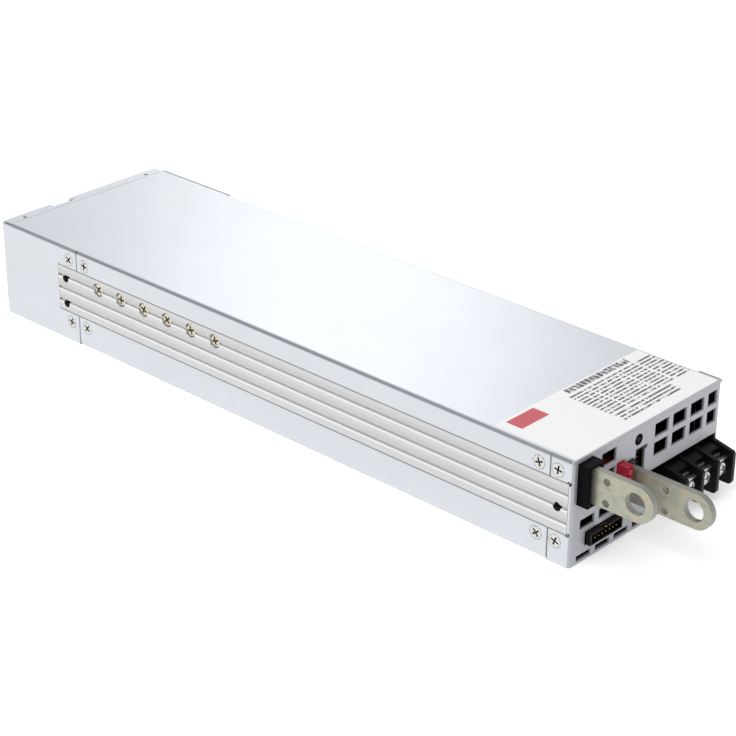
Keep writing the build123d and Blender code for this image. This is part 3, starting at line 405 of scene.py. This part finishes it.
def plated(name, colour, gloss, look=platedLook):
    # small turned or stamped metal: slight stain and fine scratches, with painted shade where a driver recess
    # is deep and in the gap round the head
    finish = Finish(name, {"Metallic": look["metal"]})
    stain = finish.noise(*look["stainNoise"])
    shade = finish.add("Attribute", {"attribute_name": "recess"}, {}, "Fac")
    dark = tuple(c * look["stained"] for c in colour)
    tone = finish.blend(stain, rgb(*dark), rgb(*colour))
    # painted shade from the screws' recess attribute
    tone = finish.blend(shade, tone, rgb(*look["recess"]))
    rough = finish.spread(stain, *gloss)
    normal = finish.relief(finish.noise(*look["scratchNoise"]), 0.08, 0.02 * mm, look["edge"])
    return finish.set({"Base Color": tone, "Roughness": rough, "Normal": normal})


mouldedLook = {
    "grainNoise": (2600.0, 2.0),
    "cloudNoise": (120.0, 4.0),
    "lift": 1.35,                      # how much lighter the high spots are
    "edge": 0.2 * mm,
}


def moulded(name, colour, gloss, grain=0.18, shine=0.5, look=mouldedLook):
    # moulded plastic: spark-eroded grain, cloudy gloss and slightly lighter high spots
    finish = Finish(name, {"Specular IOR Level": shine})
    fine, cloud = finish.noise(*look["grainNoise"]), finish.noise(*look["cloudNoise"])
    light = tuple(min(1.0, c * look["lift"] + 0.002) for c in colour)
    tone = finish.blend(cloud * 0.6 + fine * 0.4, rgb(*colour), rgb(*light))
    rough = finish.spread(cloud * 0.5 + fine * 0.5, *gloss)
    normal = finish.relief(fine, grain, 0.03 * mm, look["edge"])
    return finish.set({"Base Color": tone, "Roughness": rough, "Normal": normal})


boardLook = {
    "mask": ((0.006, 0.030, 0.014), (0.010, 0.042, 0.019)),    # the darkest and the lightest green
    "track": (0.016, 0.062, 0.028),
    "cells": 330.0,          # a metre
    "gloss": (0.28, 0.42),
}


def circuitBoard(look=boardLook):
    # solder mask over tracks: a fine grid of cells, some of them carrying copper
    finish = Finish("circuitBoard", {"Specular IOR Level": 0.3})
    settings = {"distance": "MANHATTAN", "feature": "F1"}
    cells = finish.add("TexVoronoi", settings, {"Vector": finish.place(), "Scale": look["cells"]})
    tracks = finish.add("ValToRGB", {"stops": ((0.30, (1, 1, 1)), (0.36, (0, 0, 0)))}, {"Fac": cells})
    cloud = finish.noise(90.0, 3.0)
    dark, light = look["mask"]
    colour = finish.blend(cloud, rgb(*dark), rgb(*light))
    colour = finish.blend(tracks, colour, rgb(*look["track"]))
    rough = finish.spread(cloud, *look["gloss"])
    normal = finish.relief(tracks, 0.25, 0.04 * mm)
    return finish.set({"Base Color": colour, "Roughness": rough, "Normal": normal})


windingLook = {
    "between": (0.22, 0.08, 0.03),
    "enamel": (0.62, 0.29, 0.12),
    "turns": 330.0,          # a metre
    "gloss": (0.22, 0.4),
}


def windingWire(look=windingLook):
    # enamelled wire seen as close ridges across the winding, with painted shade between the turns
    finish = Finish("windingWire", {"Metallic": 0.85})
    settings = {"wave_type": "BANDS", "bands_direction": "X", "wave_profile": "SIN"}
    sockets = {"Vector": finish.place(), "Scale": look["turns"], "Distortion": 0.4, "Detail": 1.0}
    turns = finish.add("TexWave", settings, sockets)
    cloud = finish.noise(150.0, 3.0)
    # painted shade between the turns, a darker copy of the enamel
    colour = finish.blend(turns, rgb(*look["between"]), rgb(*look["enamel"]))
    rough = finish.spread(cloud, *look["gloss"])
    normal = finish.relief(turns, 0.6, 0.3 * mm)
    return finish.set({"Base Color": colour, "Roughness": rough, "Normal": normal})


labelLook = {
    "paper": (0.98, 0.98, 0.98),
    "ink": (0.035, 0.035, 0.04),
    "bar": (0.60, 0.035, 0.06),
    "columns": ((-6.5, 2.6), (3.6, 20.6), (21.4, 30.6), (31.6, 41.0)),    # mm across, of the ruled table
    "tableFront": 12.4,      # mm behind the front edge
    "rows": 10,
    "pitch": 1.9,
    "stroke": 0.95,          # mm, the height of a row's strokes
    "notes": ((6.0, 8.0, 10.0), (-6.5, 26.5)),
    "topRow": ((-4.0, 31.0), (32.0, 35.2)),
    "block": 2.3,            # mm, the pitch of the top row's blocks
    "barAcross": (-36.0, -21.2),
    "barBehind": (27.4, 34.6),    # mm behind the front edge
    "breakNoise": (700.0, 1.5, (1.0, 0.6, 1.0)),    # breaks the rows into strokes
    "fibreNoise": (1400.0, 3.0),
    "gloss": (0.42, 0.55),
}


def labelFilm(look=labelLook):
    # white film with rows of short grey strokes, a row of blocks and a plain bar; nothing on it can be read
    finish = Finish("labelFilm", {"Specular IOR Level": 0.4})
    x, y = finish.axes()[:2]
    front = -sheetLook["half"][1] * mm
    (left, right), (near, far) = look["topRow"]
    ink = finish.between(x, left * mm, right * mm)
    ink = ink * finish.between(y, front + near * mm, front + far * mm)
    ink = ink * finish.between((x / (look["block"] * mm)).apply("FRACT"), 0.14, 0.98, 0.06)
    start = front + look["tableFront"] * mm
    run = finish.between(y, start, start + (look["rows"] * look["pitch"] - 0.6) * mm)
    along = (y - start) / (look["pitch"] * mm)
    stroke = along.apply("FRACT")
    share = look["stroke"] / look["pitch"]
    stroke = finish.add("MapRange", {}, {"Value": stroke, "From Min": share + 0.05, "From Max": share - 0.05})
    columns = total([finish.between(x, low * mm, high * mm) for low, high in look["columns"]])
    ink = ink + run * stroke * columns
    behind, (low, high) = look["notes"]
    notes = finish.between(x, low * mm, high * mm)
    lines = total([finish.between(y, front + place * mm, front + (place + 1.0) * mm) for place in behind])
    ink = ink + notes * lines
    breaks, fibre = finish.noise(*look["breakNoise"]), finish.noise(*look["fibreNoise"])
    gaps = finish.add("MapRange", {}, {"Value": breaks, "From Min": 0.34, "From Max": 0.50})
    paper = finish.blend(fibre, rgb(*(c * 0.985 for c in look["paper"])), rgb(*look["paper"]))
    colour = finish.blend(ink * gaps * 0.9, paper, rgb(*look["ink"]))
    low, high = look["barAcross"]
    bar = finish.between(x, low * mm, high * mm)
    low, high = look["barBehind"]
    bar = bar * finish.between(y, front + low * mm, front + high * mm)
    colour = finish.blend(bar * 0.92, colour, rgb(*look["bar"]))
    rough = finish.spread(fibre, *look["gloss"])
    normal = finish.relief(fibre, 0.1, 0.02 * mm)
    return finish.set({"Base Color": colour, "Roughness": rough, "Normal": normal})


glassLook = {"cap": (0.72, 0.70, 0.66), "clear": (0.86, 0.88, 0.87), "gloss": (0.08, 0.2), "seeThrough": 0.6}


def fuseGlass(look=glassLook):
    # clear between its two metal caps
    finish = Finish("fuseGlass", {"IOR": 1.45})
    x = finish.axes()[0]
    low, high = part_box("input_fuse")
    cap = 0.25 * (high.x - low.x)
    middle = finish.between(x, low.x + cap, high.x - cap)
    stain = finish.noise(300.0)
    colour = finish.blend(middle, rgb(*look["cap"]), rgb(*look["clear"]))
    rough = finish.spread(stain, *look["gloss"])
    alpha = 1.0 - middle * look["seeThrough"]
    return finish.set({"Base Color": colour, "Metallic": 1.0 - middle, "Roughness": rough, "Alpha": alpha})


sleeveLook = {
    "sleeve": ((0.010, 0.014, 0.035), (0.018, 0.024, 0.055)),
    "top": (0.62, 0.62, 0.63),
    "gloss": (0.22, 0.36),
}


def sleeve(look=sleeveLook):
    # dark shrink sleeve with a bare metal top
    finish = Finish("shrinkSleeve", {"Specular IOR Level": 0.6})
    normal = finish.add("NewGeometry", {}, {}, "Normal")
    up = Wire(finish, finish.add("SeparateXYZ", {}, {"Vector": normal}).socket.node.outputs[2])
    top = finish.add("MapRange", {}, {"Value": up, "From Min": 0.7, "From Max": 0.9})
    cloud = finish.noise(200.0)
    dark, light = look["sleeve"]
    colour = finish.blend(cloud, rgb(*dark), rgb(*light))
    colour = finish.blend(top, colour, rgb(*look["top"]))
    rough = finish.spread(cloud, *look["gloss"])
    normal = finish.relief(cloud, 0.1, 0.1 * mm)
    return finish.set({"Base Color": colour, "Metallic": top, "Roughness": rough, "Normal": normal})


lensLook = {
    "dark": (0.004, 0.012, 0.008),
    "light": (0.006, 0.020, 0.012),
    "swirl": 800.0,          # a metre
    "gloss": (0.28, 0.36),
}


def lens(look=lensLook):
    # unlit green lens
    finish = Finish("lensGreen", {"IOR": 1.5, "Specular IOR Level": 0.04})
    swirl = finish.noise(look["swirl"])
    colour = finish.blend(swirl, rgb(*look["dark"]), rgb(*look["light"]))
    return finish.set({"Base Color": colour, "Roughness": finish.spread(swirl, *look["gloss"])})


finishes = {
    "zinc_plated_steel": sheetSteel(),
    "extruded_aluminium": drawnAluminium(),
    "silicone_pad": moulded("siliconePad", (0.30, 0.31, 0.34), (0.6, 0.75), 0.3),
    "transistor_epoxy": moulded("epoxyBody", (0.010, 0.010, 0.011), (0.45, 0.6), shine=0.3),
    "nickel_plated_steel": plated("nickelSteel", (0.74, 0.73, 0.70), (0.14, 0.30)),
    "brass_post": plated("brassPost", (0.74, 0.57, 0.26), (0.25, 0.42)),
    "circuit_board": circuitBoard(),
    "tinned_copper": tinnedCopper(),
    "black_nylon": moulded("blackNylon", (0.0035, 0.0034, 0.0042), (0.24, 0.40), shine=0.16),
    "fan_plastic": moulded("fanPlastic", (0.014, 0.014, 0.016), (0.28, 0.42), shine=0.5),
    "clamp_screw": plated("brassySteel", (0.72, 0.66, 0.52), (0.16, 0.32)),
    "insulator": moulded("insulatorNylon", (0.0024, 0.0018, 0.0032), (0.34, 0.52), shine=0.04),
    "red_plastic": moulded("redHousing", (0.36, 0.010, 0.030), (0.32, 0.45), shine=0.35),
    "red_lever": moulded("redLever", (0.46, 0.04, 0.07), (0.26, 0.40), shine=0.4),
    "gold_pins": plated("goldPins", (0.80, 0.60, 0.28), (0.18, 0.32)),
    "green_lens": lens(),
    "ferrite": moulded("sinteredFerrite", (0.018, 0.018, 0.02), (0.6, 0.8), 0.5),
    "copper_winding": windingWire(),
    "capacitor_sleeve": sleeve(),
    "film_case": moulded("filmCase", (0.26, 0.15, 0.012), (0.28, 0.4), shine=0.3),
    "fuse_glass": fuseGlass(),
    "label_film": labelFilm(),
}
ownFinish = {"bus_bar_insulator": "insulator"}    # nodes whose finish isn't their slot's
for side in ("left", "right"):
    ownFinish[f"fan_frame_{side}"] = ownFinish[f"fan_rotor_{side}"] = "fan_plastic"
for row in frame["record"]["subparts"]:
    node = frame["nodes"][row["node"]]
    node.data.materials.clear()
    finishName = ownFinish.get(row["node"], row["material_slot"])
    node.data.materials.append(finishes[finishName])
print("finishes:", len(finishes))


def surface(name, grids, recess, body, finishName):
    # each grid is rows by columns by three, closed round the columns; doubles are merged, so poles close
    points, quads, start = [], [], 0
    for grid in grids:
        rows, columns = grid.shape[:2]
        index = np.arange(rows * columns).reshape(rows, columns) + start
        across = np.roll(index, -1, axis=1)
        quads.append(np.stack([index[:-1], across[:-1], across[1:], index[1:]], -1).reshape(-1, 4))
        points.append(grid.reshape(-1, 3))
        start += rows * columns
    points = np.concatenate(points)
    mesh = bpy.data.meshes.new(name)
    mesh.from_pydata(points.tolist(), [], np.concatenate(quads).tolist())
    shade = mesh.attributes.new("recess", "FLOAT", "POINT")
    shade.data.foreach_set("value", np.concatenate([r.reshape(-1) for r in recess]).astype(np.float32))
    work = bmesh.new()
    work.from_mesh(mesh)
    bmesh.ops.remove_doubles(work, verts=work.verts, dist=1e-7)
    bmesh.ops.recalc_face_normals(work, faces=work.faces)
    work.to_mesh(mesh)
    work.free()
    mesh.set_sharp_from_angle(angle=np.radians(35))
    piece = bpy.data.objects.new(name, mesh)
    bpy.context.scene.collection.objects.link(piece)
    mesh.materials.append(finishes[finishName])
    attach(piece, body)
    return piece


def frameOf(direction):
    # two unit vectors square to a level direction, for laying a round shape on it
    axis = np.array(direction, float)
    first = np.cross((0.0, 0.0, 1.0), axis)
    first /= np.linalg.norm(first)
    return first, np.cross(axis, first), axis


def layRound(radii, heights, angles, seat, direction):
    # point = seat + radius * (cos a * first + sin a * second) - height * direction
    first, second, axis = frameOf(direction)
    ring = np.cos(angles)[..., None] * first + np.sin(angles)[..., None] * second
    return np.array(seat) + radii[..., None] * ring - heights[..., None] * axis


def screwGrid(seat, direction, look, turn):
    # rings run from the middle of the recess over the rim and down to the tip;
    # columns bunch at the walls of the cross, whose half angle is asin(half width / radius)
    arm, half, deep = look["arm"], look["armWidth"] / 2, look["deep"]
    head, top = look["head"], look["top"]
    faceRadii = np.array([0.02, 0.35, 1.0, 1.45]) * half
    faceRadii = np.concatenate([faceRadii, [arm * 0.7, arm, arm * 1.04, head * 0.82, head * 0.90]])
    widest, wall = np.radians(43.0), np.radians(1.2)
    spread = np.minimum(np.arcsin(np.minimum(half / faceRadii, 1.0)), widest)
    steps = np.array([0.25, 0.5, 0.75])
    columns = []
    for quarter in range(4):
        base = quarter * np.pi / 2
        body = (spread + wall)[:, None] + (np.pi / 2 - 2 * (spread + wall))[:, None] * np.r_[0, steps, 1]
        arms = np.stack([-(spread - wall), spread * 0, spread - wall], 1)
        columns.append(base + np.concatenate([arms, body], 1))
    angles = np.concatenate(columns, 1)
    across = (1, angles.shape[1])
    inArm = np.tile(np.r_[[1.0] * 3, [0.0] * 5], 4)[None, :]
    inner = (faceRadii <= half * 1.42)[:, None]
    dish = deep * (1.0 - 0.55 * faceRadii / arm)[:, None]
    cut = np.where((faceRadii <= arm)[:, None] & ((inArm > 0) | inner), dish, 0.0)
    dome = look["dome"] * (1.0 - (faceRadii / head) ** 2)[:, None]
    faceHeights = top + dome - cut
    restRadii, restHeights = look["side"]
    rest = np.array(restRadii)
    restAngles = np.tile(angles[-1], (len(rest), 1))
    radii = np.concatenate([np.tile(faceRadii[:, None], across), np.tile(rest[:, None], across)])
    heights = np.concatenate([faceHeights, np.tile(np.array(restHeights)[:, None], across)])
    allAngles = np.concatenate([angles, restAngles]) + turn
    # painted shade, darker the deeper the driver recess
    shade = np.concatenate([np.minimum(1.0, cut / (deep * 0.45)), np.zeros(restAngles.shape)])
    shade[len(faceRadii):len(faceRadii) + 2] = look["rim"]    # painted shade in the gap round the head
    return layRound(radii, heights, allAngles, seat, direction), shade


def screws(name, seats, direction, look, body, replaced, seed, finishName="nickel_plated_steel"):
    chance = np.random.default_rng(seed)
    made = [screwGrid(seat, direction(seat), look, chance.uniform(0, np.pi / 2)) for seat in seats]
    grids, shades = zip(*made)
    piece = surface(name, grids, shades, body, finishName)
    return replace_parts(piece, replaced)


def flatLook(head, shank, cone, length):
    # a countersunk head, level with the sheet, that narrows to its shank
    return {
        "arm": head * 0.62, "armWidth": head * 0.26, "deep": 1.0 * mm, "head": head, "top": -0.02 * mm,
        "dome": 0.02 * mm, "rim": 0.75,
        "side": (
            (head, head, shank, shank, shank * 0.7, 0.0),
            (-0.02 * mm, -0.1 * mm, -cone, -length + 0.3 * mm, -length, -length),
        ),
    }


def panLook(head, height, shank, length):
    # a rounded head above its seat
    return {
        "arm": head * 0.62, "armWidth": head * 0.28, "deep": height * 0.85, "head": head * 0.9,
        "top": height * 0.88, "dome": height * 0.12, "rim": 0.4,
        "side": (
            (head * 0.97, head, head, shank, shank, shank * 0.7, 0.0),
            (height * 0.7, height * 0.45, 0.0, 0.0, -length + 0.3 * mm, -length, -length),
        ),
    }


caseScrews = {
    "stations": (-143.6, -135.4, 98.0, 107.5),
    "leftHeights": (35.9, 8.5),
    "rightHeight": 36.0,
    "wall": 42.5,
    "size": (2.61, 1.45, 1.3, 3.3),    # mm: head and shank radius, cone depth, length
}
left = [(-caseScrews["wall"], y, z) for y in caseScrews["stations"] for z in caseScrews["leftHeights"]]
right = [(caseScrews["wall"], y, caseScrews["rightHeight"]) for y in caseScrews["stations"]]
seats = np.array(left + right) * mm
caseScrewLook = flatLook(*(v * mm for v in caseScrews["size"]))
screws("caseScrewSet", seats, lambda seat: (-np.sign(seat[0]), 0, 0), caseScrewLook, "case", "case_screws", 3)

sinkScrews = {
    "first": 22.5,
    "pitch": 13.5,
    "count": 6,
    "height": 28.0,
    "seat": -41.0,
    "size": (2.7, 1.1, 1.2, 5.0),    # mm: head radius and height, shank radius, length
}
seats = [
    (sinkScrews["seat"], sinkScrews["first"] + i * sinkScrews["pitch"], sinkScrews["height"])
    for i in range(sinkScrews["count"])
]
sinkScrewLook = panLook(*(v * mm for v in sinkScrews["size"]))
screws(
    "sinkScrewSet", np.array(seats) * mm, lambda seat: (1, 0, 0), sinkScrewLook,
    "case", "heat_sink_screws", 5, "clamp_screw",
)

fanScrews = {
    "centres": (-20.2, 20.2),
    "reach": 16.0,
    "height": 20.5,
    "rear": 150.0,
    "size": (2.34, 1.35, 1.0, 7.9),    # mm: head and shank radius, cone depth, length
}
seats = [
    (centre + side * fanScrews["reach"], fanScrews["rear"], fanScrews["height"] + up * fanScrews["reach"])
    for centre in fanScrews["centres"] for side in (-1, 1) for up in (-1, 1)
]
fanScrewLook = flatLook(*(v * mm for v in fanScrews["size"]))
screws("fanScrewSet", np.array(seats) * mm, lambda seat: (0, -1, 0), fanScrewLook, "case", "fan_screws", 7)

terminalScrews = {"size": (2.3, 1.7, 1.55, 7.1)}    # mm: head radius and height, shank radius, length
terminalScrewLook = panLook(*(v * mm for v in terminalScrews["size"]))
for number in (1, 2, 3):
    low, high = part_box(f"ac_terminal_screw_{number}")
    seat = ((low.x + high.x) / 2, low.y + terminalScrews["size"][1] * mm, (low.z + high.z) / 2)
    screws(
        f"terminalScrew{number}", [seat], lambda seat: (0, 1, 0), terminalScrewLook,
        f"terminal_{number}", f"ac_terminal_screw_{number}", 11 + number,
    )
print("screws made")

makeCamera(cameraLook)
for lampName in ("key", "fill"):
    makeLamp(lampName + "Lamp", *studioLook[lampName])


def seenFactor(tree):
    # 1 for camera, glossy and transmission rays, 0 for the light that falls on the object
    rays = tree.add("LightPath", {}, {}).socket.node
    names = ("Is Camera Ray", "Is Glossy Ray", "Is Transmission Ray")
    return total([Wire(tree, rays.outputs[name]) for name in names]).apply("MINIMUM", 1.0)


world = bpy.data.worlds.new("studio")
bpy.context.scene.world = world
world.use_nodes = True
sky = NodeTree(world.node_tree)
level = studioLook["ambient"]
tone = sky.blend(seenFactor(sky), rgb(level, level, level), rgb(1, 1, 1))
# polished faces mirror four soft panels, where |sin 2a| of the direction's azimuth a is near 1
direction = sky.add("SeparateXYZ", {}, {"Vector": sky.add("TexCoord", {}, {}, "Generated")}).socket.node
eastward, northward = Wire(sky, direction.outputs[0]), Wire(sky, direction.outputs[1])
levelSquare = eastward * eastward + northward * northward + 1e-6    # never 0 straight up
panel = (2.0 * (eastward * northward)).apply("ABSOLUTE") / levelSquare
panel = panel.apply("POWER", studioLook["panelFocus"])
mirrored = sky.blend(panel, rgb(*studioLook["panelGap"]), rgb(1, 1, 1))
glossy = Wire(sky, sky.add("LightPath", {}, {}).socket.node.outputs["Is Glossy Ray"])
tone = sky.blend(glossy, tone, mirrored)
sky.feed(world.node_tree.nodes["Background"], {"Color": tone, "Strength": 1.0})

floorFinish = Finish("paleFloor", {"Roughness": 0.9, "Specular IOR Level": 0.1, "Emission Strength": 1.0})
speck = floorFinish.noise(30.0)
base = studioLook["floorColour"]
paler = base + 0.01
floorTone = floorFinish.blend(speck, rgb(base, base, base), rgb(paler, paler, paler))
glow = studioLook["floorGlow"]
x, y = floorFinish.axes()[:2]
away = (x * x + y * y).apply("SQRT")
near, beyond, share = studioLook["floorFade"]
far = floorFinish.add("MapRange", {}, {"Value": away, "From Min": near, "From Max": beyond, "To Max": share})
glowTone = floorFinish.blend(far, rgb(glow, glow, glow), rgb(1, 1, 1))
glowTone = floorFinish.blend(seenFactor(floorFinish), rgb(0, 0, 0), glowTone)
floorFinish.set({"Base Color": floorTone, "Emission Color": glowTone})
floorSize, floorDrop = 8.0, 0.05 * mm
floorMesh = bpy.data.meshes.new("floor")
corners = [(i * floorSize, j * floorSize, -floorDrop) for i, j in ((-1, -1), (1, -1), (1, 1), (-1, 1))]
floorMesh.from_pydata(corners, [], [(0, 1, 2, 3)])
floor = bpy.data.objects.new("floor", floorMesh)
floorMesh.materials.append(floorFinish.material)
bpy.context.scene.collection.objects.link(floor)
bpy.context.scene.view_settings.view_transform = "Standard"
print("studio made")
